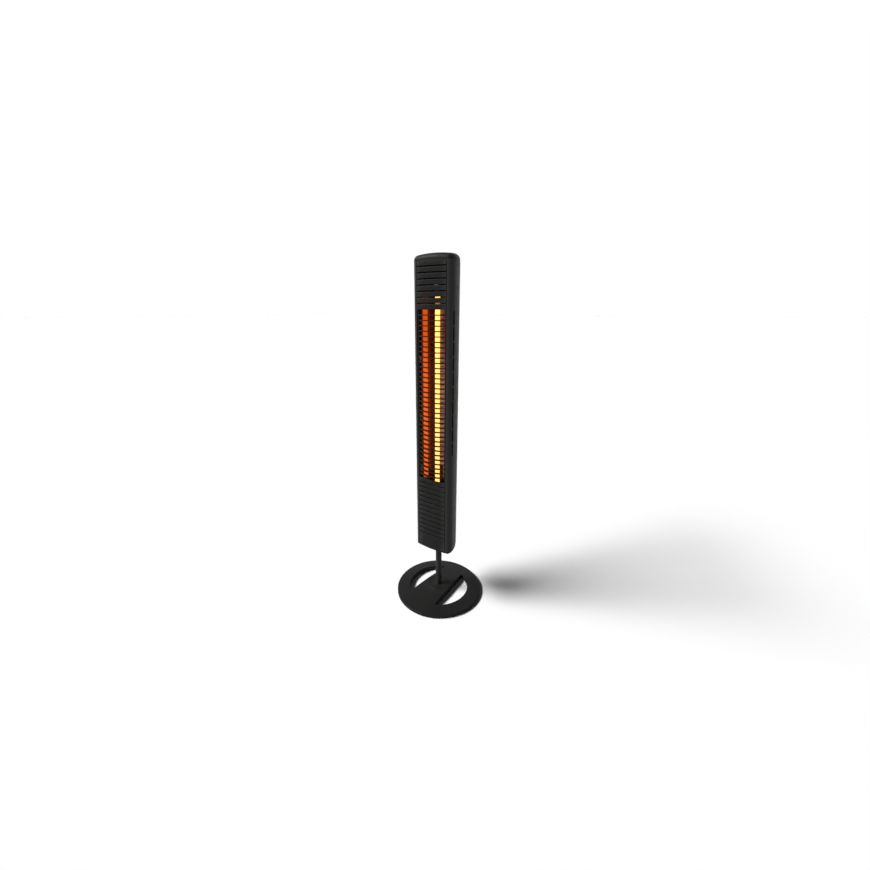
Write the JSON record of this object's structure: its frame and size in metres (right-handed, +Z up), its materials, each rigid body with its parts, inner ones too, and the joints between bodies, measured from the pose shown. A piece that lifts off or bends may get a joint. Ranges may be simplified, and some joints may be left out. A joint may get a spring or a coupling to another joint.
{
  "type": "infrared patio heater tower",
  "caption": "Slim upright infrared patio heater: a bowed slotted head with a glowing lamp behind a bar grille, on a short pole and a round cut-out base.",
  "frame": {"origin": "on the floor, on the pole's axis, at the middle of the round base", "axes": "+Z up along the pole and the head; the lamp and the grille face -Y; +X is to the right of someone who looks at the front"},
  "size_m": [0.3, 0.3, 1.1505],
  "materials": {
    "powder_coat": "satin powder coat",
    "grille_coat": "satin heat-proof coat",
    "foot_rubber": "matte",
    "steel": "zinc plated",
    "dark_screw": "black oxide",
    "spring_steel": "plain",
    "reflector_metal": "semi-bright",
    "plate_metal": "black-passivated",
    "quartz": "glowing",
    "element": "glowing",
    "ceramic": "matte",
    "black_plastic": "moulded",
    "seal_rubber": "matte",
    "brass": "plain",
    "lead_sleeve": "silicone sleeve"
  },
  "bodies": {
    "tower": {"base_plate": "powder_coat", "rubber_feet": "foot_rubber", "pole_flange": "powder_coat", "base_washers": "steel", "base_bolts": "steel", "pole": "powder_coat", "pole_socket": "plate_metal", "pole_grub_screws": "dark_screw", "socket_screws": "steel", "bottom_cap": "powder_coat", "bottom_cap_screws": "dark_screw", "top_cap": "powder_coat", "top_cap_screws": "dark_screw", "housing": "powder_coat", "bulkhead_screws": "dark_screw", "front_panel": "powder_coat", "grille": "grille_coat", "panel_clips": "spring_steel", "lower_bulkhead": "plate_metal", "upper_bulkhead": "plate_metal", "reflector": "reflector_metal", "heat_shield": "plate_metal", "lamp_tube": "quartz", "lamp_ceramics": "ceramic", "heating_ribbon": "element", "lamp_collars": "steel", "gland_body": "black_plastic", "gland_dome_nut": "black_plastic", "gland_seal": "seal_rubber", "gland_locknut": "black_plastic", "button_seal": "seal_rubber", "button_bezel": "black_plastic", "button_nut": "black_plastic", "button_blades": "brass", "electrics_plate": "plate_metal", "plate_screws": "steel", "terminal_block": "black_plastic", "terminal_screws": "brass", "earth_stud": "brass", "earth_nut": "brass", "thermal_cut_off": "black_plastic", "tilt_switch_base": "black_plastic", "tilt_pivot_pin": "steel", "tilt_sensor": "black_plastic", "upper_lamp_lead": "lead_sleeve", "lower_lamp_lead": "lead_sleeve"},
    "power_button": {"power_button": "black_plastic"},
    "tilt_pendulum": {"tilt_pendulum": "steel"}
  },
  "joints": [
    {"name": "button_press", "type": "slide", "parent": "tower", "child": "power_button", "axis": [0, -1, 0], "range_m": [0, 0.0025], "stiffness_N_per_m": 400, "springref_m": -0.002},
    {"name": "pendulum_swing", "type": "hinge", "parent": "tower", "child": "tilt_pendulum", "pos_m": [-0.026, 0.002, 0.3658], "axis": [0, -1, 0], "range_deg": [-30, 30]}
  ]
}
